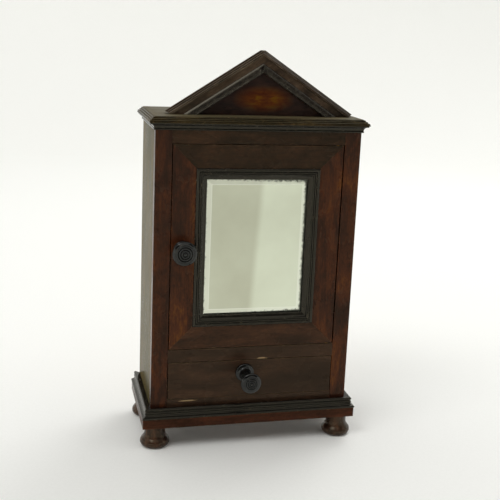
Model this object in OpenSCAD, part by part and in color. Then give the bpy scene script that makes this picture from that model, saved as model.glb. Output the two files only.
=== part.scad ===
// Table cabinet: a small veneered cupboard on turned feet, with a hinged mirror door,
// a drawer below it, a moulded cornice and a triangular pediment.
// +Z is up, the door faces -Y, and the origin is the centre of the bounding box's base.

/* [Carcass] */
// Width of the body across the face frame
body_w = 220; // [190:1:270]
// Depth of the body, from the front face to the back panel
body_d = 104.6; // [80:0.2:130]
// Thickness of the side panels
side_t = 8; // [6:0.5:12]
// Thickness of the back panel
back_t = 4; // [3:0.5:6]
// Thickness of the bottom, divider and top boards
board_t = 8; // [6:0.5:10]
// Thickness of the face frame, from front to back
frame_t = 10; // [9:0.5:14]
// Width of the two face stiles
stile_w = 17.6; // [14:0.2:24]
// Height of the rail over the door
top_rail_h = 21.2; // [18:0.2:30]
// Height of the rail between door and drawer
mid_rail_h = 14.3; // [11:0.1:20]
// Height of the rail under the drawer
bottom_rail_h = 18.7; // [14:0.1:22]
// Height of the shelf above the divider board
shelf_rise = 104; // [60:1:130]
// Thickness of the shelf
shelf_t = 6; // [4:0.5:8]

/* [Base] */
// Height of the turned feet
foot_h = 24.4; // [22:0.2:40]
// Largest radius of a foot
foot_r = 16; // [12:0.5:18]
// Thickness of the base board
base_t = 10.2; // [9.5:0.1:18]
// How far the base board stands out from the body
base_out = 9; // [8:0.1:14]
// Distance of the feet's axes from the base board's ends
foot_inset = 15; // [14:0.1:20]
// Distance of the front feet's axes behind the front face
foot_front = 6; // [4:0.2:20]
// Distance of the back feet's axes from the back
foot_back = 16.6; // [16.4:0.2:24]
// Radius of the dowel on a foot
foot_dowel_r = 5; // [3:0.5:7]
// Length of the dowel on a foot
foot_dowel_l = 7; // [6:0.5:9]
// How far the plinth moulding stands out from the body
plinth_out = 9.8; // [9:0.1:14]

/* [Door] */
// Height of the door opening
door_open_h = 222; // [190:1:280]
// Gap round the door at its top, bottom and lock side
door_gap = 0.8; // [0.6:0.1:1.2]
// Gap at the hinge side, where the door's corner turns
hinge_gap = 1.4; // [1.3:0.1:2.5]
// Width of the door's mitred frame
door_frame_w = 24.6; // [22:0.2:34]
// Width of the moulding round the mirror
sight_mould_w = 12; // [11:0.1:16]
// How far the moulding stands proud of the door
sight_mould_out = 2.2; // [1.5:0.1:3]
// Depth from the door's face to the glass
glass_set = 4; // [3.5:0.1:4]
// Thickness of the mirror glass
glass_t = 3; // [2.4:0.1:3.2]
// How far the glass reaches under the moulding
glass_under = 3.7; // [2.5:0.1:4.5]
// Width of the mirror's bevel
bevel_w = 9; // [5:0.5:14]
// Depth of the mirror's bevel at the edge
bevel_d = 1.2; // [0.6:0.1:2]
// Thickness of the board behind the mirror
backboard_t = 2.4; // [2:0.1:2.6]
// Distance of the pivot from the door's hinge edge
pivot_in = 5.5; // [5:0.1:8]
// Depth of the pivot behind the door's face
pivot_deep = 3.5; // [3.2:0.1:4]
// Radius of the pivot pins
pivot_r = 1.5; // [1:0.1:1.8]
// Wall of the pivot bushes
bush_wall = 1; // [0.8:0.1:1.2]
// How far each pivot pin enters the door
pivot_l = 8; // [5:0.5:12]

/* [Drawer] */
// Height of the drawer opening
drawer_open_h = 42; // [34:1:70]
// Gap round the drawer front
drawer_gap = 0.7; // [0.5:0.1:1.2]
// Length of the drawer, from front to back
drawer_l = 90; // [62:1:94]
// Thickness of the drawer front
drawer_front_t = 9; // [7:0.5:12]
// Thickness of the drawer's sides and back
drawer_side_t = 5; // [4:0.5:8]
// Thickness of the drawer's bottom
drawer_bottom_t = 3; // [2:0.5:4]
// Height of the drawer's sides
drawer_side_h = 32; // [24:1:33]

/* [Knobs] */
// How far the door knob stands out from the face
door_knob_reach = 20; // [18:0.5:40]
// How far the drawer knob stands out from the face
drawer_knob_reach = 36.5; // [26:0.5:44]
// Radius of the door knob's front disc
door_knob_r = 13; // [10:0.1:14]
// Radius of the drawer knob's front disc
drawer_knob_r = 11.2; // [9:0.1:14]
// Radius of the door knob's shank
shank_r = 4; // [3:0.5:5]
// Height of the door knob above the door's middle
door_knob_up = -1; // [-20:1:20]
// Sideways place of the drawer knob from the middle
drawer_knob_x = -7.5; // [-20:0.5:20]
// Height of the drawer knob above the opening's middle
drawer_knob_up = 6.2; // [-5:0.1:8]
// Length of the latch tongue from the knob's axis
tongue_l = 20; // [17:0.5:21]
// Width of the latch tongue
tongue_w = 10; // [9:0.5:12]
// Thickness of the latch tongue
tongue_t = 4; // [3:0.5:5]

/* [Cornice] */
// Height of the crown moulding and of the board inside it
crown_h = 6.4; // [5.5:0.1:9]
// How far the crown moulding stands out
crown_out = 7; // [6:0.1:9]
// Width of the crown moulding on top, inwards from the body's face
crown_in = 6; // [4:0.5:10]
// Height of the bed moulding
bed_h = 7.6; // [6.5:0.1:10]
// How far the bed moulding stands out
bed_out = 6; // [5:0.1:8]

/* [Pediment] */
// Half width of the pediment where its slopes meet the cornice
ped_half = 106.4; // [85:0.2:115]
// Slope of the pediment
ped_angle = 33.1; // [24:0.1:38]
// Sideways place of the pediment from the middle
ped_x = 4.5; // [-6:0.5:6]
// Distance of the pediment's board from the front face
ped_y = 24.5; // [18:0.1:32]
// Thickness of the pediment's board
ped_t = 12; // [12:0.5:24]
// Thickness of the raking caps
cap_t = 6; // [3.5:0.1:6]
// How far the raking caps stand in front of the board
cap_out = 5; // [3.5:0.1:8]
// Width of the raking fascias
fascia_w = 14.5; // [12:0.5:18]
// Thickness of the raking fascias
fascia_t = 3; // [2:0.5:4]
// Width of the bead on the fascias
bead_w = 8; // [4:0.1:9]
// How far the bead stands in front of the fascias
bead_out = 4; // [1.5:0.1:5]

/* [Hidden] */
$fn = 64;

// Clearances and small cuts
run_clear = 0.05;      // radial clearance of a turning pin or shank
slide_clear = 0.3;     // between faces that pass each other
lap = 1;               // how far a cutting shape runs past what it cuts
far = 400;             // longer than any moulding

// Heights of the joints, from the floor up
base_top = foot_h + base_t;
drawer_z0 = base_top + bottom_rail_h;
drawer_z1 = drawer_z0 + drawer_open_h;
door_z0 = drawer_z1 + mid_rail_h;
door_z1 = door_z0 + door_open_h;
carcass_top_z = door_z1 + top_rail_h;
cornice_top_z = carcass_top_z + crown_h;

// Places across and along the body, with the front face at y = 0 before front_y moves it
front_y = (drawer_knob_reach - body_d) / 2;
half_w = body_w / 2;
inner_x = half_w - side_t;
open_x = half_w - stile_w;
back_y = body_d - back_t;
base_half = half_w + base_out;
foot_x = base_half - foot_inset;
foot_back_y = body_d - foot_back;

// Places of the door and its mirror
door_x0 = -open_x + door_gap;
door_x1 = open_x - hinge_gap;
door_bottom = door_z0 + door_gap;
door_top = door_z1 - door_gap;
door_t = frame_t;
ceiling_z = door_z1 + 4;
mould_x0 = door_x0 + door_frame_w;
mould_x1 = door_x1 - door_frame_w;
mould_z0 = door_bottom + door_frame_w;
mould_z1 = door_top - door_frame_w;
rebate_w = sight_mould_w - glass_under;
pivot_x = door_x1 - pivot_in;
knob_x = door_x0 + door_frame_w / 2;
knob_z = (door_bottom + door_top) / 2 + door_knob_up;
flange_r = 10.3;       // of the knobs' base flanges
flange_gap = 0.3;      // between the turning flange and the door
tongue_y = door_t + slide_clear;

// Places of the drawer
drawer_x = open_x - drawer_gap;
drawer_bottom_z = drawer_z0 + drawer_gap / 2;
drawer_knob_z = (drawer_z0 + drawer_z1) / 2 + drawer_knob_up;
drawer_shank_r = 3.5;
drawer_shank_l = 7;
drawer_floor_up = 2;   // height of its floor above the sides' lower edges

// Places of the pediment, in a frame with x = 0 on its own middle and z = 0 on the cornice
ped_rise = ped_half * tan(ped_angle);
cap_drop = cap_t / cos(ped_angle);
fascia_drop = cap_drop + fascia_w / cos(ped_angle);
tip_cut = 4.3;         // how much of each sharp tip is cut away
tip_heel = 6;          // how far the cut runs in under the tip
apex_flat = 1.7;       // how much of the apex is worn off
dowel_r = 2.5;
dowel_up = 12;
dowel_x = ped_half * 0.45;
block_size = 10;
block_l = 22;

// Fasteners
screw_r = 1.5;
screw_head_r = 3.2;
base_screw_l = 24;
base_screw_y = 34;     // behind the front face, and 2 more from the back
back_pin_r = 0.9;
back_pin_l = 12;

function arc(cx, cy, r, a0, a1, n = 8) =
    [for (i = [0:n]) let (a = a0 + (a1 - a0) * i / n) [cx + r * cos(a), cy + r * sin(a)]];

// A curve from p to r that leans towards q
function curve(p, q, r, n = 8) =
    [for (i = [0:n]) let (t = i / n) (1 - t) * (1 - t) * p + 2 * t * (1 - t) * q + t * t * r];

// ---- Shared shapes ----

module in_place() {
    translate([0, front_y, 0]) children();
}

// A board from one corner to the other
module board(low, high) {
    translate(low) cube(high - low);
}

// A cylinder along y, from y0 to y1
module rod_y(x, z, r, y0, y1) {
    translate([x, y0, z]) rotate([-90, 0, 0]) cylinder(r = r, h = y1 - y0);
}

// A cylinder along z, from z0 to z1
module rod_z(x, y, r, z0, z1) {
    translate([x, y, z0]) cylinder(r = r, h = z1 - z0);
}

// A moulding along the front, from its section: distance out from the face, and height
module front_run(section, out, z) {
    intersection() {
        translate([-far / 2, 0, z]) mirror([0, 1, 0]) rotate([90, 0, 90])
            linear_extrude(far) polygon(section);
        translate([0, 0, z - lap]) linear_extrude(far)
            polygon([
                [-half_w - out, -out], [half_w + out, -out],
                [half_w - far / 8, far / 8], [-half_w + far / 8, far / 8]
            ]);
    }
}

// A moulding along the right side, mitred to the front one and square at the back
module side_run(section, out, z) {
    intersection() {
        translate([half_w, body_d, z]) rotate([90, 0, 0])
            linear_extrude(far) polygon(section);
        translate([0, 0, z - lap]) linear_extrude(far)
            polygon([
                [half_w + out, -out], [half_w + out, body_d],
                [half_w - crown_in, body_d], [half_w - crown_in, crown_in]
            ]);
    }
}

// ---- Base ----

module base_board() in_place() color("saddlebrown") difference() {
    board([-base_half, -base_out, foot_h], [base_half, body_d, base_top]);
    for (x = [-foot_x, foot_x], y = [foot_front, foot_back_y])
        rod_z(x, y, foot_dowel_r, foot_h - lap, foot_h + foot_dowel_l);
    base_screw_shapes();
}

function foot_section() = concat(
    [[0, 0], [foot_r - 5.2, 0]],
    arc(foot_r - 5.2, 5.2, 5.2, -90, 45, 10),
    curve([foot_r - 2.3, 10], [foot_r - 4.9, 12.5], [foot_r - 4.7, 17.5], 8),
    [[foot_r - 4, foot_h], [foot_dowel_r, foot_h], [foot_dowel_r, foot_h + foot_dowel_l],
     [0, foot_h + foot_dowel_l]]
);

module foot(x, y) in_place() color("saddlebrown")
    translate([x, y, 0]) rotate_extrude() polygon(foot_section());

module foot_front_left() foot(-foot_x, foot_front);
module foot_front_right() foot(foot_x, foot_front);
module foot_back_left() foot(-foot_x, foot_back_y);
module foot_back_right() foot(foot_x, foot_back_y);

// A bead, a hollow and two reeds, with a top that falls to the body
plinth_section = concat(
    [[0, 0]],
    arc(plinth_out - 1.3, 1.3, 1.3, -90, 90, 8),
    arc(plinth_out - 1.3, 5.2, 2.6, -95, -180, 6),
    arc(plinth_out - 4.6, 6.6, 1.4, -70, 75, 8),
    arc(plinth_out - 4.8, 9.9, 1.6, -75, 90, 8),
    [[0, 9.8]]
);

module plinth_moulding_front() in_place() color("darkslategray")
    front_run(plinth_section, plinth_out, base_top);

module plinth_moulding_sides() in_place() color("darkslategray")
    for (m = [0, 1]) mirror([m, 0, 0])
        side_run(plinth_section, plinth_out, base_top);

module base_screw_shapes() {
    for (x = [-1, 1] * (half_w - side_t / 2), y = [base_screw_y, body_d - base_screw_y - 2]) {
        rod_z(x, y, screw_r, foot_h, foot_h + base_screw_l);
        translate([x, y, foot_h]) cylinder(r1 = screw_head_r, r2 = screw_r, h = screw_head_r - screw_r);
    }
}

module base_screws() in_place() color("goldenrod") base_screw_shapes();

// ---- Carcass ----

module side_panel(x) difference() {
    board([x, frame_t, base_top], [x + side_t, body_d, carcass_top_z]);
    base_screw_shapes();
}

module side_panel_left() in_place() color("sienna") side_panel(-half_w);
module side_panel_right() in_place() color("sienna") side_panel(inner_x);

back_pin_x = inner_x - 20;

module back_pin_shapes() {
    for (x = [-back_pin_x, 0, back_pin_x],
         z = [drawer_z0 - board_t / 2, door_z0 - board_t / 2, ceiling_z + board_t / 2])
        rod_y(x, z, back_pin_r, body_d - back_pin_l, body_d);
}

module back_panel() in_place() color("peru") difference() {
    board([-inner_x, back_y, base_top], [inner_x, body_d, carcass_top_z]);
    back_pin_shapes();
}

module back_pins() in_place() color("dimgray") back_pin_shapes();

// A board across the carcass whose top is at z
module cross_board(z) difference() {
    board([-inner_x, frame_t, z - board_t], [inner_x, back_y, z]);
    back_pin_shapes();
}

module bottom_board() in_place() color("peru") cross_board(drawer_z0);
module divider_board() in_place() color("peru") cross_board(door_z0);
module carcass_top() in_place() color("peru") cross_board(ceiling_z + board_t);

module face_stile(x)
    board([x, 0, base_top], [x + stile_w, frame_t, carcass_top_z]);

module face_stile_left() in_place() color("sienna") face_stile(-half_w);
module face_stile_right() in_place() color("sienna") face_stile(open_x);

// A rail between the face stiles, with the pivot pin's hole where it holds one
module face_rail(z0, z1) difference() {
    board([-open_x, 0, z0], [open_x, frame_t, z1]);
    pivot_pin_shapes();
}

module top_rail() in_place() color("sienna") face_rail(door_z1, carcass_top_z);
module mid_rail() in_place() color("sienna") face_rail(drawer_z1, door_z0);
module bottom_rail() in_place() color("sienna") face_rail(base_top, drawer_z0);

// Each pin has half of its length in the rail and half in the door
module pivot_pin_shapes() {
    rod_z(pivot_x, pivot_deep, pivot_r, door_z1 - pivot_l, door_z1 + pivot_l);
    rod_z(pivot_x, pivot_deep, pivot_r, door_z0 - pivot_l, door_z0 + pivot_l);
}

washer_t = door_gap - 0.2;

// The lower pin carries a washer under the door
module pivot_pins() in_place() color("goldenrod") {
    pivot_pin_shapes();
    rod_z(pivot_x, pivot_deep, pivot_r + bush_wall, door_z0, door_z0 + washer_t);
}

shelf_z = door_z0 + shelf_rise;
shelf_set = 12;        // how far the shelf stops behind the face frame
bearer_size = 6;

module shelf() in_place() color("peru")
    board([-inner_x, frame_t + shelf_set, shelf_z], [inner_x, back_y, shelf_z + shelf_t]);

module shelf_bearers() in_place() color("peru")
    for (m = [0, 1]) mirror([m, 0, 0])
        board([inner_x - bearer_size, frame_t + shelf_set, shelf_z - bearer_size],
              [inner_x, back_y, shelf_z]);

module drawer_guides() in_place() color("peru")
    for (m = [0, 1]) mirror([m, 0, 0])
        board([drawer_x + slide_clear, frame_t, drawer_z0],
              [inner_x, back_y, drawer_z0 + drawer_side_h / 2]);

module drawer_stops() in_place() color("peru")
    for (x = [-1, 1] * drawer_x / 2)
        board([x - 8, drawer_l + slide_clear, drawer_z0], [x + 8, back_y, drawer_z0 + 8]);

module door_stop() in_place() color("peru")
    board([-half_w / 2, door_t + slide_clear, door_z1 - 6],
          [half_w / 2, door_t + slide_clear + 6, ceiling_z]);

// ---- Cornice ----

// Three reeds that step back from a fillet to the body's face
crown_fillet = 1.2;
crown_reeds = 3;
crown_top = 1;         // how far the top edge stands out
reed_h = (crown_h - 1.5 * crown_fillet) / crown_reeds;
reed_step = (crown_out - 0.4 - crown_top) / crown_reeds;
crown_section = concat(
    [[-crown_in, 0], [crown_out, 0], [crown_out, crown_fillet]],
    [for (k = [0:crown_reeds - 1])
        each arc(crown_out - 0.4 - reed_h / 2 - k * reed_step, crown_fillet + (k + 0.5) * reed_h,
                 reed_h / 2, -90, 90, 6)],
    [[crown_top, crown_h - crown_fillet / 2], [crown_top, crown_h], [-crown_in, crown_h]]
);

// A bead under a hollow and a lip
bed_bead = 1;
bed_section = concat(
    [[0, 0]],
    arc(1, bed_bead, bed_bead, -90, 80, 6),
    curve([1.6, 2 * bed_bead + 0.3], [2, bed_h - 1.8], [bed_out - 0.4, bed_h - 1.5], 8),
    [[bed_out, bed_h - 1.5], [bed_out, bed_h], [0, bed_h]]
);

module cornice_board() in_place() color("olivedrab") difference() {
    board([-half_w + crown_in, crown_in, carcass_top_z],
          [half_w - crown_in, body_d, cornice_top_z]);
    dowel_shapes();
}

module cornice_crown_front() in_place() color("olivedrab")
    front_run(crown_section, crown_out, carcass_top_z);
module cornice_crown_right() in_place() color("olivedrab")
    side_run(crown_section, crown_out, carcass_top_z);
module cornice_crown_left() in_place() color("olivedrab")
    mirror([1, 0, 0]) side_run(crown_section, crown_out, carcass_top_z);

module cornice_bed_front() in_place() color("darkslategray")
    front_run(bed_section, bed_out, carcass_top_z - bed_h);
module cornice_bed_sides() in_place() color("darkslategray")
    for (m = [0, 1]) mirror([m, 0, 0])
        side_run(bed_section, bed_out, carcass_top_z - bed_h);

// ---- Pediment ----

module on_cornice() {
    translate([ped_x, 0, cornice_top_z]) children();
}

// A flat shape in x and z, made solid from y0 to y1
module upright(points, y0, y1) {
    translate([0, y1, 0]) rotate([90, 0, 0]) linear_extrude(y1 - y0) polygon(points);
}

// The triangle that lies a vertical drop below the pediment's outer lines
function slope_triangle(drop) = [
    [-ped_half + drop / tan(ped_angle), 0],
    [ped_half - drop / tan(ped_angle), 0],
    [0, ped_rise - drop]
];

// The right half of the band between two drops below the outer line
function slope_band(top_drop, low_drop) = [
    [ped_half - top_drop / tan(ped_angle), 0],
    [0, ped_rise - top_drop],
    [0, ped_rise - low_drop],
    [ped_half - low_drop / tan(ped_angle), 0]
];

module dowel_shapes() {
    for (m = [0, 1]) on_cornice() mirror([m, 0, 0])
        rod_z(dowel_x, ped_y + ped_t / 2, dowel_r, -crown_h, dowel_up);
}

module pediment_board() in_place() color("sienna") difference() {
    on_cornice() upright(slope_triangle(cap_drop), ped_y, ped_y + ped_t);
    dowel_shapes();
}

module tympanum_panel() in_place() color("chocolate")
    on_cornice() upright(slope_triangle(fascia_drop), ped_y - 1, ped_y);

module rake_fascias() in_place() color("sienna")
    for (m = [0, 1]) on_cornice() mirror([m, 0, 0])
        upright(slope_band(cap_drop, fascia_drop), ped_y - fascia_t, ped_y);

// A small nosing along the inner edge of the fascias, and a rounded back that falls outwards
bead_nose = 0.8;
bead_section = concat(
    [[0, 0]],
    arc(bead_nose, bead_out - bead_nose, bead_nose, 180, 45, 6),
    curve([1.8 * bead_nose, bead_out - 0.9], [0.7 * bead_w, bead_out - 1], [bead_w, 0.6], 10),
    [[bead_w, 0]]
);

// Runs a section up the right slope: its first measure goes out across the slope from a line
// that lies a vertical drop below the outer one, its second forward from y
module up_slope(section, drop, y) {
    translate([ped_half - drop / tan(ped_angle), y, 0]) rotate([0, ped_angle - 90, 0])
        mirror([0, 1, 0]) translate([0, 0, -far / 4]) linear_extrude(far) polygon(section);
}

module rake_beads() in_place() color("darkslategray")
    for (m = [0, 1]) on_cornice() mirror([m, 0, 0]) intersection() {
        up_slope(bead_section, fascia_drop, ped_y - fascia_t);
        board([0, 0, 0], [far, far, far]);
    }

// The cap covers the board's edge. Three reeds step back from its front to its crest, and
// its top falls away to the back.
cap_fillet = 1;
cap_fall = 2.6;
cap_reed_h = (cap_t - cap_fillet) / 3;
cap_reed_step = 2.3;
cap_section = concat(
    [[0, -ped_t], [0, cap_out], [cap_fillet, cap_out]],
    [for (k = [0:2])
        each arc(cap_fillet + (k + 0.5) * cap_reed_h, cap_out - 0.4 - (k + 0.5) * cap_reed_step,
                 cap_reed_h / 2, 180, 0, 6)],
    [[cap_t, cap_out - 0.4 - 3 * cap_reed_step], [cap_t - cap_fall, -ped_t]]
);

module rake_cap() intersection() {
    up_slope(cap_section, cap_drop, ped_y);
    upright([
        [0, 0], [ped_half - tip_cut - tip_heel, 0],
        [ped_half - tip_cut, tip_cut * tan(ped_angle)],
        [ped_half - tip_cut, ped_rise - apex_flat], [0, ped_rise - apex_flat]
    ], 0, far);
}

module rake_cap_left() in_place() color("sienna")
    on_cornice() mirror([1, 0, 0]) rake_cap();
module rake_cap_right() in_place() color("sienna")
    on_cornice() rake_cap();

module pediment_dowels() in_place() color("burlywood") dowel_shapes();

module pediment_glue_blocks() in_place() color("peru")
    for (m = [0, 1]) on_cornice() mirror([m, 0, 0])
        translate([dowel_x - block_l / 2, ped_y + ped_t, 0]) rotate([90, 0, 90])
            linear_extrude(block_l) polygon([[0, 0], [block_size, 0], [0, block_size]]);

// ---- Door ----

// The four mitred members of a frame, from the outer corners to a width inside them
module mitre_mask(side, x0, x1, z0, z1) {
    d = (x1 - x0) / 2;
    shape = side == "left" ? [[x0, z0], [x0 + d, z0 + d], [x0 + d, z1 - d], [x0, z1]]
        : side == "right" ? [[x1, z0], [x1, z1], [x1 - d, z1 - d], [x1 - d, z0 + d]]
        : side == "top" ? [[x0, z1], [x0 + d, z1 - d], [x1 - d, z1 - d], [x1, z1]]
        : [[x0, z0], [x1, z0], [x1 - d, z0 + d], [x0 + d, z0 + d]];
    upright(shape, -far / 4, far / 4);
}

module door_member(side) in_place() color("sienna") intersection() {
    difference() {
        board([door_x0, 0, door_bottom], [door_x1, door_t, door_top]);
        board([mould_x0, -lap, mould_z0], [mould_x1, door_t + lap, mould_z1]);
        rod_y(knob_x, knob_z, shank_r + run_clear, -lap, door_t + lap);
        bush_holes();
        backboard_screw_shapes();
    }
    mitre_mask(side, door_x0, door_x1, door_bottom, door_top);
}

module door_stile_left() door_member("left");
module door_stile_right() door_member("right");
module door_rail_top() door_member("top");
module door_rail_bottom() door_member("bottom");

bush_clear = 0.3;      // how far a pin stops short of its bush's blind end

module bush_holes() {
    for (z = [[door_bottom - lap, door_z0 + pivot_l + bush_clear],
              [door_z1 - pivot_l - bush_clear, door_top + lap]])
        rod_z(pivot_x, pivot_deep, pivot_r + bush_wall, z[0], z[1]);
}

module pivot_bushes() in_place() color("goldenrod")
    for (z = [[door_bottom, door_z0 + pivot_l + bush_clear],
              [door_z1 - pivot_l - bush_clear, door_top]])
        difference() {
            rod_z(pivot_x, pivot_deep, pivot_r + bush_wall, z[0], z[1]);
            rod_z(pivot_x, pivot_deep, pivot_r + run_clear, z[0] - lap, z[1] + lap);
        }

// Section of the moulding round the mirror: distance in from the door frame, and depth
sight_reed_r = 0.8;
sight_section = concat(
    [[0, door_t], [0, 1.4 - sight_mould_out]],
    arc(1.8, 1.8 - sight_mould_out, 1.8, 192, 342, 8),
    arc(4.5, 1.2 - sight_mould_out, sight_reed_r, 200, 340, 6),
    arc(6.3, 1.6 - sight_mould_out, sight_reed_r, 200, 340, 6),
    curve([7.4, 2.4 - sight_mould_out], [9.2, glass_set - 2],
          [sight_mould_w, glass_set - 1.4], 6),
    [[sight_mould_w, glass_set], [rebate_w, glass_set], [rebate_w, door_t]]
);

// One upright side of the moulding, and one level side, each mitred at both ends
module sight_upright(side) intersection() {
    if (side == "left")
        translate([mould_x0, 0, 0]) linear_extrude(2 * far) polygon(sight_section);
    else
        translate([mould_x1, 0, 0]) mirror([1, 0, 0]) linear_extrude(2 * far)
            polygon(sight_section);
    mitre_mask(side, mould_x0, mould_x1, mould_z0, mould_z1);
}

module sight_level(side) intersection() {
    if (side == "bottom")
        translate([far / 2, 0, mould_z0]) rotate([0, -90, 0]) linear_extrude(far)
            polygon(sight_section);
    else
        translate([far / 2, 0, mould_z1]) mirror([0, 0, 1]) rotate([0, -90, 0])
            linear_extrude(far) polygon(sight_section);
    mitre_mask(side, mould_x0, mould_x1, mould_z0, mould_z1);
}

module mirror_moulding_sides() in_place() color("darkslategray") {
    sight_upright("left");
    sight_upright("right");
}

module mirror_moulding_ends() in_place() color("darkslategray") {
    sight_level("top");
    sight_level("bottom");
}

glass_gap = 0.2;       // round the glass and the backboard in their rebate

// A plate with a bevel all round its front, cut by four slanting planes
module bevelled_plate(x0, x1, z0, z1) {
    slope = [[0, 0], [0, bevel_d], [bevel_w, 0]];
    w = x1 - x0;
    h = z1 - z0;
    translate([x0, glass_set, z0]) difference() {
        cube([w, glass_t, h]);
        bevel_cut() polygon(slope);
        translate([w, 0, 0]) mirror([1, 0, 0]) bevel_cut() polygon(slope);
        rotate([0, -90, 0]) mirror([0, 0, 1]) bevel_cut() polygon(slope);
        translate([0, 0, h]) mirror([0, 0, 1]) rotate([0, -90, 0]) mirror([0, 0, 1])
            bevel_cut() polygon(slope);
    }
}

module bevel_cut() translate([0, 0, -lap]) linear_extrude(far) children();

module mirror_plate() in_place() color("lightsteelblue")
    bevelled_plate(mould_x0 + rebate_w + glass_gap, mould_x1 - rebate_w - glass_gap,
                   mould_z0 + rebate_w + glass_gap, mould_z1 - rebate_w - glass_gap);

backboard_y = glass_set + glass_t;

module door_backboard() in_place() color("peru")
    board([mould_x0 + rebate_w + glass_gap, backboard_y, mould_z0 + rebate_w + glass_gap],
          [mould_x1 - rebate_w - glass_gap, backboard_y + backboard_t,
           mould_z1 - rebate_w - glass_gap]);

// Flat turn buttons on the back of the door keep the backboard in
button_w = 6;
button_t = 1.2;
button_in = 3;         // how far a button reaches over the backboard
button_screw = 4;      // distance of its screw out from the moulding
button_up = 60;        // distance of the buttons above and below the knob

module button_screws_at(r, y0, y1)
    for (x = [mould_x0 - button_screw, mould_x1 + button_screw],
         z = [knob_z - button_up, knob_z + button_up])
        rod_y(x, z, r, y0, y1);

module backboard_screw_shapes()
    button_screws_at(screw_r, door_t - 6, door_t + button_t);

module backboard_buttons() in_place() color("goldenrod") difference() {
    for (z = [knob_z - button_up, knob_z + button_up]) {
        board([mould_x0 - button_screw - button_w / 2, door_t, z - button_w / 2],
              [mould_x0 + rebate_w + button_in, door_t + button_t, z + button_w / 2]);
        board([mould_x1 - rebate_w - button_in, door_t, z - button_w / 2],
              [mould_x1 + button_screw + button_w / 2, door_t + button_t, z + button_w / 2]);
    }
    backboard_screw_shapes();
}

module backboard_screws() in_place() color("goldenrod") {
    backboard_screw_shapes();
    button_screws_at(2.4, door_t + button_t, door_t + button_t + 0.8);
}

// ---- Latch: the knob, its shank through the door, and the tongue behind ----

// Outline of a turned knob: radius, and height out from the face. Its front has a rim,
// a groove, a ring, a second groove and a low dome.
function knob_outline(r, reach) = concat(
    [[flange_r, flange_gap]],
    arc(flange_r - 1.3, 1.6, 1.3, 0, 90, 5),
    curve([7.6, 2.9], [4.4, 4.2], [4.5, reach * 0.4], 8),
    curve([4.6, reach * 0.45], [5, reach - 11], [r - 2, reach - 7], 8),
    arc(r - 1.8, reach - 4.8, 1.8, -60, 60, 8),
    [[r - 2.2, reach - 2.4], [r - 3.4, reach - 2.6]],
    arc(r - 4.5, reach - 2.4, 1.1, -10, 190, 8),
    [[r - 5.8, reach - 2.6]],
    curve([r - 6.6, reach - 2.4], [(r - 6.6) * 0.6, reach], [0, reach], 6)
);

// Turns an outline about an axis that points out of the front face at x, z
module turned(x, z, outline)
    translate([x, 0, z]) rotate([90, 0, 0]) rotate_extrude() polygon(outline);

tongue_boss_r = 3;
latch_end_y = tongue_y + tongue_t;
latch_screw_r = 1.2;

module door_knob() in_place() color("black") difference() {
    turned(knob_x, knob_z, concat(
        [[0, -latch_end_y], [tongue_boss_r, -latch_end_y], [tongue_boss_r, -tongue_y],
         [shank_r, -tongue_y], [shank_r, flange_gap]],
        knob_outline(door_knob_r, door_knob_reach)
    ));
    latch_screw_shape();
}

module latch_screw_shape()
    rod_y(knob_x, knob_z, latch_screw_r, 2, latch_end_y + 1.2);

module latch_tongue() in_place() color("goldenrod") difference() {
    union() {
        rod_y(knob_x, knob_z, tongue_w / 2, tongue_y, latch_end_y);
        board([knob_x - tongue_w / 2, tongue_y, knob_z - tongue_l],
              [knob_x + tongue_w / 2, latch_end_y, knob_z]);
    }
    rod_y(knob_x, knob_z, tongue_boss_r, tongue_y - lap, latch_end_y + lap);
}

module latch_screw() in_place() color("goldenrod") {
    latch_screw_shape();
    rod_y(knob_x, knob_z, tongue_boss_r + 1.2, latch_end_y, latch_end_y + 1.2);
}

// ---- Drawer ----

drawer_screw_l = 14;

module drawer_screw_shape()
    rod_y(drawer_knob_x, drawer_knob_z, latch_screw_r, -5, -5 + drawer_screw_l);

module drawer_front() in_place() color("saddlebrown") difference() {
    board([-drawer_x, 0, drawer_bottom_z],
          [drawer_x, drawer_front_t, drawer_z1 - drawer_gap]);
    rod_y(drawer_knob_x, drawer_knob_z, drawer_shank_r, -lap, drawer_shank_l);
    drawer_screw_shape();
}

module drawer_side(x)
    board([x, drawer_front_t, drawer_bottom_z],
          [x + drawer_side_t, drawer_l, drawer_bottom_z + drawer_side_h]);

module drawer_sides() in_place() color("burlywood") {
    drawer_side(-drawer_x);
    drawer_side(drawer_x - drawer_side_t);
}

drawer_inner_x = drawer_x - drawer_side_t;

module drawer_back() in_place() color("burlywood")
    board([-drawer_inner_x, drawer_l - drawer_side_t, drawer_bottom_z],
          [drawer_inner_x, drawer_l, drawer_bottom_z + drawer_side_h]);

module drawer_bottom() in_place() color("burlywood")
    board([-drawer_inner_x, drawer_front_t, drawer_bottom_z + drawer_floor_up],
          [drawer_inner_x, drawer_l - drawer_side_t,
           drawer_bottom_z + drawer_floor_up + drawer_bottom_t]);

module drawer_knob() in_place() color("black") difference() {
    turned(drawer_knob_x, drawer_knob_z, concat(
        [[0, -drawer_shank_l], [drawer_shank_r, -drawer_shank_l], [drawer_shank_r, 0],
         [flange_r, 0]],
        knob_outline(drawer_knob_r, drawer_knob_reach)
    ));
    drawer_screw_shape();
}

module drawer_knob_screw() in_place() color("goldenrod") {
    drawer_screw_shape();
    rod_y(drawer_knob_x, drawer_knob_z, latch_screw_r + 1.4, drawer_front_t,
          drawer_front_t + 1);
}

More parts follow.
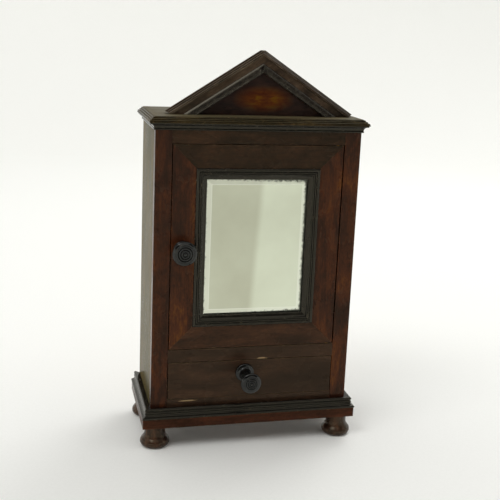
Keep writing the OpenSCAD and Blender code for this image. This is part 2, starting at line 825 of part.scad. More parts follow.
base_board();
foot_front_left();
foot_front_right();
foot_back_left();
foot_back_right();
plinth_moulding_front();
plinth_moulding_sides();
base_screws();
side_panel_left();
side_panel_right();
back_panel();
back_pins();
bottom_board();
divider_board();
carcass_top();
face_stile_left();
face_stile_right();
top_rail();
mid_rail();
bottom_rail();
shelf();
shelf_bearers();
drawer_guides();
drawer_stops();
door_stop();
pivot_pins();
cornice_board();
cornice_crown_front();
cornice_crown_left();
cornice_crown_right();
cornice_bed_front();
cornice_bed_sides();
pediment_board();
tympanum_panel();
rake_fascias();
rake_beads();
rake_cap_left();
rake_cap_right();
pediment_dowels();
pediment_glue_blocks();
door_stile_left();
door_stile_right();
door_rail_top();
door_rail_bottom();
mirror_moulding_sides();
mirror_moulding_ends();
mirror_plate();
door_backboard();
backboard_buttons();
backboard_screws();
pivot_bushes();
door_knob();
latch_tongue();
latch_screw();
drawer_front();
drawer_sides();
drawer_back();
drawer_bottom();
drawer_knob();
drawer_knob_screw();
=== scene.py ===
import math
import bmesh
import bpy
import numpy as np
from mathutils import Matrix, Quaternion, Vector


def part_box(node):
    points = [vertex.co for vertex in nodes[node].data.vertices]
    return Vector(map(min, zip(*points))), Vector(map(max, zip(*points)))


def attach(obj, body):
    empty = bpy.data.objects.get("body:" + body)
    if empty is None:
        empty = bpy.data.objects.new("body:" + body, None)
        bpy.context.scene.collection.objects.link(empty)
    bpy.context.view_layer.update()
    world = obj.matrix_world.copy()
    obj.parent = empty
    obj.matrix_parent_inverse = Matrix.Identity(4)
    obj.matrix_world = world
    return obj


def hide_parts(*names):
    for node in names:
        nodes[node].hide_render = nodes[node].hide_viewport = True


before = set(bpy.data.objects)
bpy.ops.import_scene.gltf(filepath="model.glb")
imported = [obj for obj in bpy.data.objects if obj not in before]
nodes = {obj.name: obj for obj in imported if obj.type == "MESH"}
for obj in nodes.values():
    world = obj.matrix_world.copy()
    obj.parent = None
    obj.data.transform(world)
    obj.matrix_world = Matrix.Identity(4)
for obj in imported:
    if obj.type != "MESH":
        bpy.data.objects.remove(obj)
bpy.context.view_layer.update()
scene = bpy.context.scene
mm = 0.001
right, back, up = np.eye(3)
print("frame loaded:", len(nodes), "nodes")


def lowOf(node):
    return np.array(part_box(node)[0])


def highOf(node):
    return np.array(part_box(node)[1])


# places, all read from the frame
frontY = lowOf("face_stile_left")[1]
backY = highOf("back_panel")[1]
halfWidth = highOf("face_stile_right")[0]
baseTop = highOf("base_board")[2]
caseTop = highOf("face_stile_left")[2]
corniceTop = highOf("cornice_board")[2]
mirrorLow, mirrorHigh = lowOf("mirror_plate"), highOf("mirror_plate")

studio = {
    "cameraPlace": (-0.22673, -0.92699, 0.44893),
    "cameraAim": (0.00021, -0.03405, 0.24706),
    "cameraRoll": 2.506,
    "lens": 64.15,
    "shift": (-0.0154, -0.0522),
    "skyColour": "#fbfbf9",
    "skyStrength": 0.85,
    "paperColour": "#f8f8f5",
    "paperTooth": "#fbfbf8",
    "floorRadius": 2.1,
    "sweepRadius": 0.9,
    "sweepAround": 96,
    "clothColour": "#3e3d39",
    "clothWeave": "#4a4945",
    "screenRadius": 1.9,
    "screenArc": (-160, -30),
    "screenHeights": (0.8, 2.0),
    "screenColumns": 40,
    "keyPlace": (-1.6, -1.2, 2.4),
    "keySize": 1.5,
    "keyPower": 30,
    "rimPlace": (1.3, 1.2, 1.9),
    "rimSize": 1.2,
    "rimPower": 14,
}


def linearColour(hexColour):
    # each channel of an sRGB colour made linear, with the standard curve
    channels = np.array([int(hexColour[i:i + 2], 16) for i in (1, 3, 5)]) / 255
    linear = np.where(channels <= 0.04045, channels / 12.92, ((channels + 0.055) / 1.055) ** 2.4)
    return (*linear.tolist(), 1.0)


def addNode(tree, kind, links=None, stops=None, **settings):
    # adds a node, sets its properties, and fills or links its sockets by name or number
    node = tree.nodes.new(kind)
    for name, value in settings.items():
        setattr(node, name, value)
    for socket, value in (links or {}).items():
        if isinstance(value, bpy.types.NodeSocket):
            tree.links.new(value, node.inputs[socket])
        else:
            node.inputs[socket].default_value = value
    for i, (place, colour) in enumerate(stops or []):
        stop = node.color_ramp.elements[i] if i < 2 else node.color_ramp.elements.new(place)
        stop.position = place
        stop.color = linearColour(colour)
    return node


def newMaterial(name):
    material = bpy.data.materials.new(name)
    material.use_nodes = True
    material.node_tree.nodes.clear()
    return material, material.node_tree


def showShader(tree, shader):
    addNode(tree, "ShaderNodeOutputMaterial", {"Surface": shader.outputs["BSDF"]})


def turnTowards(item, place, aim, roll=0.0):
    turn = (Vector(aim) - Vector(place)).to_track_quat("-Z", "Y")
    item.rotation_mode = "QUATERNION"
    item.location = place
    item.rotation_quaternion = turn @ Quaternion((0, 0, 1), math.radians(roll))


def arcOf(centre, radius, start, end, count=14):
    # points at even angles on a circle
    angle = np.radians(np.linspace(start, end, count))
    return np.c_[centre[0] + radius * np.cos(angle), centre[1] + radius * np.sin(angle)]


def ringQuads(rows, around):
    # the quads between rows of "around" points, each row closed into a ring
    i, j = np.meshgrid(np.arange(rows - 1), np.arange(around), indexing="ij")
    nextJ = (j + 1) % around
    corners = [i * around + j, i * around + nextJ, (i + 1) * around + nextJ, (i + 1) * around + j]
    return np.stack(corners, -1).reshape(-1, 4)


def addCamera():
    camera = bpy.data.objects.new("camera", bpy.data.cameras.new("camera"))
    scene.collection.objects.link(camera)
    camera.data.sensor_width = 36
    camera.data.lens = studio["lens"]
    camera.data.shift_x, camera.data.shift_y = studio["shift"]
    turnTowards(camera, studio["cameraPlace"], studio["cameraAim"], studio["cameraRoll"])
    scene.camera = camera


def addSoftbox(name, place, size, power):
    light = bpy.data.lights.new(name, "AREA")
    light.size = size
    light.energy = power
    softbox = bpy.data.objects.new(name, light)
    scene.collection.objects.link(softbox)
    turnTowards(softbox, place, (0, 0, 0.2))


def addSweep():
    # pale matt paper: no gloss, a faint tooth
    material, tree = newMaterial("paleStudioPaper")
    place = addNode(tree, "ShaderNodeTexCoord")
    tooth = addNode(tree, "ShaderNodeTexNoise", {"Vector": place.outputs["Object"], "Scale": 1 / (3 * mm)})
    shade = addNode(tree, "ShaderNodeValToRGB", {"Fac": tooth.outputs["Fac"]},
                    stops=[(0.3, studio["paperColour"]), (0.7, studio["paperTooth"])])
    showShader(tree, addNode(tree, "ShaderNodeBsdfPrincipled",
                             {"Base Color": shade.outputs["Color"], "Roughness": 0.9,
                              "Specular IOR Level": 0.1}))
    # a bowl: radius and height go flat from the middle, then round a quarter circle, then up;
    # the point at (u, v) is that outline at u turned about the vertical by v
    bend = arcOf((studio["floorRadius"], studio["sweepRadius"]), studio["sweepRadius"], -90, 0, 24)
    outline = np.concatenate([[[0.001, 0], [studio["floorRadius"] / 2, 0]], bend, [bend[-1] + (0, 0.5)]])
    around = studio["sweepAround"]
    v = np.linspace(0, 2 * math.pi, around, endpoint=False)
    points = np.stack([outline[:, :1] * np.cos(v), outline[:, :1] * np.sin(v),
                       outline[:, 1:] + 0 * v], -1).reshape(-1, 3)
    quads = ringQuads(len(outline), around)[:, ::-1]
    mesh = bpy.data.meshes.new("studioSweep")
    mesh.from_pydata(points.tolist(), [], quads.tolist() + [list(range(around))])
    mesh.polygons.foreach_set("use_smooth", np.ones(len(mesh.polygons), bool))
    mesh.materials.append(material)
    sweep = bpy.data.objects.new("studioSweep", mesh)
    scene.collection.objects.link(sweep)


def addDimScreen():
    # a dark cloth screen behind the camera, so that polished edges have something dark to reflect
    material, tree = newMaterial("darkStudioCloth")
    place = addNode(tree, "ShaderNodeTexCoord")
    weave = addNode(tree, "ShaderNodeTexNoise", {"Vector": place.outputs["Object"], "Scale": 1 / (4 * mm)})
    shade = addNode(tree, "ShaderNodeValToRGB", {"Fac": weave.outputs["Fac"]},
                    stops=[(0.3, studio["clothColour"]), (0.7, studio["clothWeave"])])
    showShader(tree, addNode(tree, "ShaderNodeBsdfPrincipled",
                             {"Base Color": shade.outputs["Color"], "Roughness": 1.0,
                              "Specular IOR Level": 0.05}))
    # part of an upright cylinder about the object: the point at (u, v) is at height u and angle v
    radius, columns = studio["screenRadius"], studio["screenColumns"]
    v = np.radians(np.linspace(*studio["screenArc"], columns))
    rows = np.stack([np.stack([radius * np.cos(v), radius * np.sin(v), 0 * v + height], -1)
                     for height in studio["screenHeights"]])
    i = np.arange(columns - 1)
    quads = np.stack([i, i + columns, i + columns + 1, i + 1], -1)
    mesh = bpy.data.meshes.new("dimScreen")
    mesh.from_pydata(rows.reshape(-1, 3).tolist(), [], quads.tolist())
    mesh.materials.append(material)
    screen = bpy.data.objects.new("dimScreen", mesh)
    scene.collection.objects.link(screen)


def addStudio():
    addCamera()
    addSoftbox("keySoftbox", studio["keyPlace"], studio["keySize"], studio["keyPower"])
    addSoftbox("rimSoftbox", studio["rimPlace"], studio["rimSize"], studio["rimPower"])
    world = bpy.data.worlds.new("studioSky")
    world.use_nodes = True
    sky = world.node_tree.nodes["Background"]
    sky.inputs["Color"].default_value = linearColour(studio["skyColour"])
    sky.inputs["Strength"].default_value = studio["skyStrength"]
    scene.world = world
    scene.view_settings.view_transform = "Standard"
    addSweep()
    addDimScreen()
    print("studio ready")


addStudio()


def grainScale(axis, across, along):
    # makes one unit of pattern as wide as "across" and, on the grain's axis, as long as "along"
    scale = [1 / across] * 3
    scale["XYZ".index(axis)] = 1 / along
    return scale


def grainPattern(tree, place, axis, across, along, detail, distortion=0.0, shift=0.0):
    spread = addNode(tree, "ShaderNodeMapping",
                     {"Vector": place, "Scale": grainScale(axis, across, along), "Location": (shift,) * 3})
    return addNode(tree, "ShaderNodeTexNoise",
                   {"Vector": spread.outputs["Vector"], "Scale": 1.0, "Detail": detail,
                    "Roughness": 0.6, "Distortion": distortion})


mahoganyLook = {
    "figureWidth": 24 * mm, "figureLength": 80 * mm,     # soft dark and light blotches
    "mottleWidth": 2.6 * mm, "mottleLength": 6 * mm,     # fine mottling across them
    "ringWidth": 1.1 * mm, "ringLength": 30 * mm,        # growth rings, cut lengthways
    "poreWidth": 0.5 * mm, "poreLength": 5 * mm,         # open pores, drawn twice their real width to show
    "rubSize": 30 * mm,                                  # patches where the polish is rubbed dull
    "dark": "#1d100b", "brown": "#311a12", "red": "#4a2615", "light": "#704114",
    "edge": "#6a4a30", "chip": "#a08662", "dust": "#7d7258", "tint": "#fff1d2",
    "gloss": 0.18, "dull": 0.36, "specular": 0.16,
    "sheen": 0.0, "sheenRough": 0.3, "sheenTint": "#cfc888",
    "scars": (),                                         # x, z, half length and half height of each
}
railLook = {"dark": "#140d09", "brown": "#251910", "red": "#352317", "light": "#4b3020"}
drawerLook = {"dark": "#261a13", "brown": "#302219", "red": "#3b291e", "light": "#4d3728"}
lowRailLook = {"dark": "#1d120c", "brown": "#301e15", "red": "#42291c", "light": "#583823"}
baseLook = {"brown": "#3d261b", "red": "#512e20", "specular": 0.03}
sideLook = {"dark": "#18100b", "brown": "#2a1c13", "red": "#3d2817", "light": "#573a20",
            "specular": 0.004, "sheen": 0.3, "gloss": 0.1, "dull": 0.2}
crownLook = {"dark": "#100d07", "brown": "#211a0f", "red": "#332713", "light": "#4d3b1b",
             "dust": "#6b6248", "tint": "#f0edc4"}


def polishedMahogany(name, axis="Z", turn=(0, 0, 0), shift=0.0, look=None):
    # Cuban mahogany, french polished and then a century old: deep brown with soft red blotches,
    # fine open pores, a soft shine rubbed dull in patches and pale along its arrises
    look = {**mahoganyLook, **(look or {})}
    material, tree = newMaterial(name)
    front = addNode(tree, "ShaderNodeTexCoord").outputs["Object"]
    place = addNode(tree, "ShaderNodeMapping", {"Vector": front, "Rotation": turn}).outputs["Vector"]
    figure = grainPattern(tree, place, axis, look["figureWidth"], look["figureLength"], 4, 0.7, shift)
    rings = grainPattern(tree, place, axis, look["ringWidth"], look["ringLength"], 4, 0.5, shift)
    pores = grainPattern(tree, place, axis, look["poreWidth"], look["poreLength"], 1, 0, shift)
    rubbed = grainPattern(tree, place, axis, look["rubSize"], look["rubSize"] * 1.5, 4, 0.3, shift + 5)
    mottle = grainPattern(tree, place, axis, look["mottleWidth"], look["mottleLength"], 3, 0.6, shift + 9)
    blotches = addNode(tree, "ShaderNodeMath", {0: figure.outputs["Fac"], 1: 0.6}, operation="MULTIPLY")
    mottled = addNode(tree, "ShaderNodeMath", {0: mottle.outputs["Fac"], 1: 0.2, 2: blotches.outputs[0]},
                      operation="MULTIPLY_ADD")
    blend = addNode(tree, "ShaderNodeMath", {0: rings.outputs["Fac"], 1: 0.2, 2: mottled.outputs[0]},
                    operation="MULTIPLY_ADD")
    wood = addNode(tree, "ShaderNodeValToRGB", {"Fac": blend.outputs[0]},
                   stops=[(0.35, look["dark"]), (0.69, look["light"]), (0.47, look["brown"]),
                          (0.56, look["red"])])
    poreMask = addNode(tree, "ShaderNodeMapRange",
                       {"Value": pores.outputs["Fac"], "From Min": 0.56, "From Max": 0.66, "To Max": 0.55})
    pored = addNode(tree, "ShaderNodeMix", {0: poreMask.outputs[0], 6: wood.outputs["Color"],
                                            7: linearColour(look["dark"])}, data_type="RGBA")
    # arrises: where the rounded normal leaves the true one, broken up by noise
    shape = addNode(tree, "ShaderNodeNewGeometry")
    rounded = addNode(tree, "ShaderNodeBevel", {"Radius": 0.9 * mm}, samples=4)
    facing = addNode(tree, "ShaderNodeVectorMath", {0: rounded.outputs[0], 1: shape.outputs["Normal"]},
                     operation="DOT_PRODUCT")
    arris = addNode(tree, "ShaderNodeMapRange",
                    {"Value": facing.outputs["Value"], "From Min": 0.97, "From Max": 0.84})
    breakUp = addNode(tree, "ShaderNodeMapRange",
                      {"Value": rubbed.outputs["Fac"], "From Min": 0.42, "From Max": 0.62})
    worn = addNode(tree, "ShaderNodeMath", {0: arris.outputs[0], 1: breakUp.outputs[0]},
                   operation="MULTIPLY")
    wornPart = addNode(tree, "ShaderNodeMath", {0: worn.outputs[0], 1: 0.5}, operation="MULTIPLY")
    edged = addNode(tree, "ShaderNodeMix", {0: wornPart.outputs[0], 6: pored.outputs[2],
                                            7: linearColour(look["edge"])}, data_type="RGBA")
    # dust and fading on what faces up
    tilt = addNode(tree, "ShaderNodeSeparateXYZ", {0: shape.outputs["Normal"]})
    settled = addNode(tree, "ShaderNodeMapRange",
                      {"Value": tilt.outputs["Z"], "From Min": 0.75, "From Max": 1.0, "To Max": 0.55})
    dusted = addNode(tree, "ShaderNodeMix", {0: settled.outputs[0], 6: edged.outputs[2],
                                             7: linearColour(look["dust"])}, data_type="RGBA")
    chipPlace = addNode(tree, "ShaderNodeMapRange",
                        {"Value": mottle.outputs["Fac"], "From Min": 0.61, "From Max": 0.66, "To Max": 0.7})
    chips = addNode(tree, "ShaderNodeMath", {0: arris.outputs[0], 1: chipPlace.outputs[0]},
                    operation="MULTIPLY")
    dusted = addNode(tree, "ShaderNodeMix", {0: chips.outputs[0], 6: dusted.outputs[2],
                                             7: linearColour(look["chip"])}, data_type="RGBA")
    for x, z, halfLength, halfHeight in look["scars"]:
        # a ragged scratch through the polish: an oval round a place on the front
        around = addNode(tree, "ShaderNodeMapping",
                         {"Vector": front, "Location": (-x / halfLength, 0, -z / halfHeight),
                          "Scale": (1 / halfLength, 0, 1 / halfHeight)})
        away = addNode(tree, "ShaderNodeVectorMath", {0: around.outputs[0]}, operation="LENGTH")
        ragged = addNode(tree, "ShaderNodeMath", {0: mottle.outputs["Fac"], 1: 1.6, 2: away.outputs["Value"]},
                         operation="MULTIPLY_ADD")
        scar = addNode(tree, "ShaderNodeMapRange", {"Value": ragged.outputs[0], "From Min": 1.9,
                                                    "From Max": 1.4, "To Max": 0.8})
        dusted = addNode(tree, "ShaderNodeMix", {0: scar.outputs[0], 6: dusted.outputs[2],
                                                 7: linearColour(look["chip"])}, data_type="RGBA")
    gloss = addNode(tree, "ShaderNodeMapRange",
                    {"Value": rubbed.outputs["Fac"], "From Min": 0.35, "From Max": 0.68,
                     "To Min": look["gloss"], "To Max": look["dull"]})
    dullness = addNode(tree, "ShaderNodeMath", {0: settled.outputs[0], 1: 0.6, 2: gloss.outputs[0]},
                       operation="MULTIPLY_ADD")
    relief = addNode(tree, "ShaderNodeMath", {0: poreMask.outputs[0], 1: -0.6, 2: rings.outputs["Fac"]},
                     operation="MULTIPLY_ADD")
    bump = addNode(tree, "ShaderNodeBump", {"Height": relief.outputs[0], "Strength": 0.12,
                                            "Distance": 0.15 * mm})
    showShader(tree, addNode(tree, "ShaderNodeBsdfPrincipled",
                             {"Base Color": dusted.outputs[2], "Roughness": dullness.outputs[0],
                              "Specular IOR Level": look["specular"], "IOR": 1.5,
                              "Specular Tint": linearColour(look["tint"]), "Normal": bump.outputs[0],
                              "Sheen Weight": look["sheen"], "Sheen Roughness": look["sheenRough"],
                              "Sheen Tint": linearColour(look["sheenTint"])}))
    return material


ebonisedLook = {
    "grainWidth": 0.9 * mm, "grainLength": 22 * mm,
    "knockSize": 5 * mm,                                 # spacing of knocks and rubbed spots
    "black": "#100e0c", "bloom": "#1d1a16", "rubbed": "#857358", "dust": "#3d3a2b",
    "tint": "#fbf3d8", "gloss": 0.14, "dull": 0.3, "specular": 0.4, "relief": 0.03,
}


def ebonisedWood(name, axis="X", turn=(0, 0, 0), shift=0.0, look=None):
    # pearwood stained black and shellacked: near black with a greenish bloom, brown where
    # hands and knocks have rubbed the arrises, grey dust down in the hollows
    look = {**ebonisedLook, **(look or {})}
    material, tree = newMaterial(name)
    place = addNode(tree, "ShaderNodeTexCoord").outputs["Object"]
    place = addNode(tree, "ShaderNodeMapping", {"Vector": place, "Rotation": turn}).outputs["Vector"]
    grain = grainPattern(tree, place, axis, look["grainWidth"], look["grainLength"], 3, 0.3, shift)
    knocks = grainPattern(tree, place, axis, look["knockSize"], look["knockSize"] * 2, 5, 0.4, shift + 3)
    black = addNode(tree, "ShaderNodeValToRGB", {"Fac": knocks.outputs["Fac"]},
                    stops=[(0.4, look["black"]), (0.72, look["bloom"])])
    shape = addNode(tree, "ShaderNodeNewGeometry")
    rounded = addNode(tree, "ShaderNodeBevel", {"Radius": 0.7 * mm}, samples=4)
    facing = addNode(tree, "ShaderNodeVectorMath", {0: rounded.outputs[0], 1: shape.outputs["Normal"]},
                     operation="DOT_PRODUCT")
    arris = addNode(tree, "ShaderNodeMapRange",
                    {"Value": facing.outputs["Value"], "From Min": 0.97, "From Max": 0.8})
    patch = addNode(tree, "ShaderNodeMapRange",
                    {"Value": knocks.outputs["Fac"], "From Min": 0.56, "From Max": 0.62})
    worn = addNode(tree, "ShaderNodeMath", {0: arris.outputs[0], 1: patch.outputs[0]}, operation="MULTIPLY")
    wornPart = addNode(tree, "ShaderNodeMath", {0: worn.outputs[0], 1: 0.5}, operation="MULTIPLY")
    rubbed = addNode(tree, "ShaderNodeMix", {0: wornPart.outputs[0], 6: black.outputs["Color"],
                                             7: linearColour(look["rubbed"])}, data_type="RGBA")
    hollows = addNode(tree, "ShaderNodeAmbientOcclusion", {"Distance": 2.5 * mm}, samples=6)
    deep = addNode(tree, "ShaderNodeMapRange",
                   {"Value": hollows.outputs["AO"], "From Min": 0.75, "From Max": 0.35, "To Max": 0.15})
    dusty = addNode(tree, "ShaderNodeMix", {0: deep.outputs[0], 6: rubbed.outputs[2],
                                            7: linearColour(look["dust"])}, data_type="RGBA")
    gloss = addNode(tree, "ShaderNodeMapRange",
                    {"Value": knocks.outputs["Fac"], "From Min": 0.35, "From Max": 0.7,
                     "To Min": look["gloss"], "To Max": look["dull"]})
    relief = addNode(tree, "ShaderNodeMath", {0: knocks.outputs["Fac"], 1: 1.5, 2: grain.outputs["Fac"]},
                     operation="MULTIPLY_ADD")
    bump = addNode(tree, "ShaderNodeBump", {"Height": relief.outputs[0], "Strength": look["relief"],
                                            "Distance": 0.25 * mm})
    showShader(tree, addNode(tree, "ShaderNodeBsdfPrincipled",
                             {"Base Color": dusty.outputs[2], "Roughness": gloss.outputs[0],
                              "Specular IOR Level": look["specular"], "IOR": 1.5,
                              "Specular Tint": linearColour(look["tint"]), "Normal": bump.outputs[0]}))
    return material


pineLook = {
    "ringWidth": 6 * mm, "ringLength": 220 * mm, "fibreWidth": 0.5 * mm, "fibreLength": 14 * mm,
    "early": "#9c7850", "late": "#7a5534", "grime": "#4a3521", "grimeWidth": 40 * mm, "grimeLength": 90 * mm,
}


def barePine(name, axis="X", shift=0.0):
    # planed pine, never finished and darkened by age: soft matt fibres between harder brown rings
    look = pineLook
    material, tree = newMaterial(name)
    place = addNode(tree, "ShaderNodeTexCoord").outputs["Object"]
    rings = grainPattern(tree, place, axis, look["ringWidth"], look["ringLength"], 2, 0.8, shift)
    fibres = grainPattern(tree, place, axis, look["fibreWidth"], look["fibreLength"], 2, 0, shift)
    grime = grainPattern(tree, place, axis, look["grimeWidth"], look["grimeLength"], 4, 0.5, shift + 2)
    wood = addNode(tree, "ShaderNodeValToRGB", {"Fac": rings.outputs["Fac"]},
                   stops=[(0.35, look["early"]), (0.62, look["late"])])
    dirt = addNode(tree, "ShaderNodeMapRange",
                   {"Value": grime.outputs["Fac"], "From Min": 0.45, "From Max": 0.8, "To Max": 0.7})
    aged = addNode(tree, "ShaderNodeMix", {0: dirt.outputs[0], 6: wood.outputs["Color"],
                                           7: linearColour(look["grime"])}, data_type="RGBA")
    bump = addNode(tree, "ShaderNodeBump", {"Height": fibres.outputs["Fac"], "Strength": 0.4,
                                            "Distance": 0.15 * mm})
    showShader(tree, addNode(tree, "ShaderNodeBsdfPrincipled",
                             {"Base Color": aged.outputs[2], "Roughness": 0.72,
                              "Specular IOR Level": 0.3, "Normal": bump.outputs[0]}))
    return material


brassLook = {"bright": "#b08a45", "tarnish": "#5a4422", "patchSize": 4 * mm}


def dullBrass(name):
    # drawn and turned brass, long handled: warm metal under brown tarnish, with turning marks
    material, tree = newMaterial(name)
    place = addNode(tree, "ShaderNodeTexCoord").outputs["Object"]
    patches = addNode(tree, "ShaderNodeTexNoise", {"Vector": place, "Scale": 1 / brassLook["patchSize"],
                                                   "Detail": 4.0})
    colour = addNode(tree, "ShaderNodeValToRGB", {"Fac": patches.outputs["Fac"]},
                     stops=[(0.4, brassLook["bright"]), (0.65, brassLook["tarnish"])])
    rough = addNode(tree, "ShaderNodeMapRange", {"Value": patches.outputs["Fac"], "From Min": 0.35,
                                                 "From Max": 0.7, "To Min": 0.28, "To Max": 0.6})
    bump = addNode(tree, "ShaderNodeBump", {"Height": patches.outputs["Fac"], "Strength": 0.2,
                                            "Distance": 0.1 * mm})
    showShader(tree, addNode(tree, "ShaderNodeBsdfPrincipled",
                             {"Base Color": colour.outputs["Color"], "Metallic": 1.0,
                              "Roughness": rough.outputs[0], "Normal": bump.outputs[0]}))
    return material


ironLook = {"scale": "#1d1a18", "rust": "#4a2c1a", "pitSize": 0.8 * mm}


def blackIron(name):
    # cut iron nails: dark scale with rust in the pits
    material, tree = newMaterial(name)
    place = addNode(tree, "ShaderNodeTexCoord").outputs["Object"]
    pits = addNode(tree, "ShaderNodeTexNoise", {"Vector": place, "Scale": 1 / ironLook["pitSize"],
                                                "Detail": 3.0})
    colour = addNode(tree, "ShaderNodeValToRGB", {"Fac": pits.outputs["Fac"]},
                     stops=[(0.4, ironLook["scale"]), (0.68, ironLook["rust"])])
    bump = addNode(tree, "ShaderNodeBump", {"Height": pits.outputs["Fac"], "Strength": 0.4,
                                            "Distance": 0.1 * mm})
    showShader(tree, addNode(tree, "ShaderNodeBsdfPrincipled",
                             {"Base Color": colour.outputs["Color"], "Metallic": 0.7, "Roughness": 0.6,
                              "Normal": bump.outputs[0]}))
    return material


mirrorLook = {
    # the second colour is both clouding and the painted dim half of a reflection, the third a painted
    # highlight on the bevel; the first three sizes on the next line place the painted reflection's step
    "silver": "#e0e6d0", "cloudAndPaintedDimReflection": "#bbbca6", "bevel": "#f2f5e8", "lost": "#23241c",
    "paintedReflectionStep": -12 * mm, "paintedReflectionSoftness": 5 * mm, "paintedReflectionLean": 0.06, "damp": 0.024,
    "cloudSize": 60 * mm, "speckSize": 1.2 * mm, "creepSize": 3.5 * mm, "creepLeast": 2.6 * mm,
    "creepMost": 6.6 * mm, "bevelWidth": 9 * mm,
}


def agedSilvering(name):
    # old plate glass with mercury-grey silvering: a greenish reflection, a little cloudy, with a painted
    # reflection darker on one side and a painted highlight on the bevel, and black where damp has crept in
    # from the edges
    material, tree = newMaterial(name)
    place = addNode(tree, "ShaderNodeTexCoord").outputs["Object"]
    axes = addNode(tree, "ShaderNodeSeparateXYZ", {0: place})
    edges = []
    for axis, line, sign in (("X", mirrorLow[0], 1), ("X", mirrorHigh[0], -1),
                             ("Z", mirrorLow[2], 1), ("Z", mirrorHigh[2], -1)):
        edges.append(addNode(tree, "ShaderNodeMath", {0: axes.outputs[axis], 1: sign, 2: -sign * line},
                             operation="MULTIPLY_ADD").outputs[0])
    across = addNode(tree, "ShaderNodeMath", {0: edges[0], 1: edges[1]}, operation="MINIMUM")
    upwards = addNode(tree, "ShaderNodeMath", {0: edges[2], 1: edges[3]}, operation="MINIMUM")
    nearest = addNode(tree, "ShaderNodeMath", {0: across.outputs[0], 1: upwards.outputs[0]},
                      operation="MINIMUM")
    creep = addNode(tree, "ShaderNodeTexNoise", {"Vector": place, "Scale": 1 / mirrorLook["creepSize"],
                                                 "Detail": 6.0,
                                                 "Roughness": 0.75})
    reach = addNode(tree, "ShaderNodeMapRange",
                    {"Value": creep.outputs["Fac"], "From Min": 0.3, "From Max": 0.75,
                     "To Min": mirrorLook["creepLeast"], "To Max": mirrorLook["creepMost"]})
    # damp has crept further from the hinge side than from the knob side
    reach = addNode(tree, "ShaderNodeMath", {0: axes.outputs["X"], 1: mirrorLook["damp"],
                                             2: reach.outputs[0]}, operation="MULTIPLY_ADD")
    gap = addNode(tree, "ShaderNodeMath", {0: nearest.outputs[0], 1: reach.outputs[0]}, operation="SUBTRACT")
    lost = addNode(tree, "ShaderNodeMapRange", {"Value": gap.outputs[0], "From Min": 1.5 * mm,
                                                "From Max": -0.7 * mm, "To Max": 0.85})
    clouds = addNode(tree, "ShaderNodeTexNoise", {"Vector": place, "Scale": 1 / mirrorLook["cloudSize"],
                                                  "Detail": 3.0})
    # painted reflection: one half is painted darker than the other, along a line that leans a little
    leaning = addNode(tree, "ShaderNodeMath", {0: axes.outputs["Z"], 1: -mirrorLook["paintedReflectionLean"],
                                               2: axes.outputs["X"]}, operation="MULTIPLY_ADD")
    paintedReflectionHalf = addNode(tree, "ShaderNodeMapRange",
                       {"Value": leaning.outputs[0], "To Max": 0.3,
                        "From Min": mirrorLook["paintedReflectionStep"] - mirrorLook["paintedReflectionSoftness"],
                        "From Max": mirrorLook["paintedReflectionStep"] + mirrorLook["paintedReflectionSoftness"]},
                       interpolation_type="SMOOTHSTEP")
    cloudsAndPaintedReflection = addNode(tree, "ShaderNodeMath", {0: clouds.outputs["Fac"], 1: 0.4, 2: paintedReflectionHalf.outputs[0]},
                      operation="MULTIPLY_ADD")
    tint = addNode(tree, "ShaderNodeValToRGB", {"Fac": cloudsAndPaintedReflection.outputs[0]},
                   stops=[(0.1, mirrorLook["cloudAndPaintedDimReflection"]), (0.55, mirrorLook["silver"])])
    # painted highlight: the bevel is painted paler, most of all along the line where it starts
    bevel = addNode(tree, "ShaderNodeMapRange", {"Value": nearest.outputs[0], "To Max": 0.4,
                                                 "From Min": mirrorLook["bevelWidth"] + 0.3 * mm,
                                                 "From Max": mirrorLook["bevelWidth"] - 0.1 * mm})
    fromLine = addNode(tree, "ShaderNodeMath", {0: nearest.outputs[0], 1: mirrorLook["bevelWidth"]},
                       operation="SUBTRACT")
    fromLine = addNode(tree, "ShaderNodeMath", {0: fromLine.outputs[0]}, operation="ABSOLUTE")
    line = addNode(tree, "ShaderNodeMapRange", {"Value": fromLine.outputs[0], "From Min": 0.6 * mm,
                                                "From Max": 0.1 * mm, "To Max": 0.8})
    bright = addNode(tree, "ShaderNodeMath", {0: bevel.outputs[0], 1: line.outputs[0]}, operation="MAXIMUM")
    tint = addNode(tree, "ShaderNodeMix", {0: bright.outputs[0], 6: tint.outputs["Color"],
                                           7: linearColour(mirrorLook["bevel"])}, data_type="RGBA")
    specks = addNode(tree, "ShaderNodeTexNoise", {"Vector": place, "Scale": 1 / mirrorLook["speckSize"],
                                                  "Detail": 2.0})
    speckMask = addNode(tree, "ShaderNodeMapRange",
                        {"Value": specks.outputs["Fac"], "From Min": 0.74, "From Max": 0.78, "To Max": 0.4})
    spoilt = addNode(tree, "ShaderNodeMath", {0: lost.outputs[0], 1: speckMask.outputs[0]},
                     operation="MAXIMUM")
    colour = addNode(tree, "ShaderNodeMix", {0: spoilt.outputs[0], 6: tint.outputs[2],
                                             7: linearColour(mirrorLook["lost"])}, data_type="RGBA")
    rough = addNode(tree, "ShaderNodeMapRange", {"Value": spoilt.outputs[0], "To Min": 0.03, "To Max": 0.4})
    showShader(tree, addNode(tree, "ShaderNodeBsdfPrincipled",
                             {"Base Color": colour.outputs[2], "Metallic": 1.0,
                              "Roughness": rough.outputs[0]}))
    return material


def smoothAndEase(piece, ease, sharpAngle=38.0, segments=3):
    # rounds the arrises by "ease" and shades what is left smooth
    mesh = piece.data
    mesh.polygons.foreach_set("use_smooth", np.ones(len(mesh.polygons), bool))
    mesh.set_sharp_from_angle(angle=math.radians(sharpAngle))
    if ease > 0:
        bevel = piece.modifiers.new("easedArris", "BEVEL")
        bevel.width = ease
        bevel.segments = segments
        bevel.limit_method = "ANGLE"
        bevel.angle_limit = math.radians(sharpAngle)
        bevel.harden_normals = True
        bevel.use_clamp_overlap = True


def standFor(piece, material, body, slot, *cadNodes):
    # gives a piece its material and body, and puts it in the place of its CAD nodes
    piece.data.materials.clear()
    piece.data.materials.append(material)
    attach(piece, body)
    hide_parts(*cadNodes)
    return piece


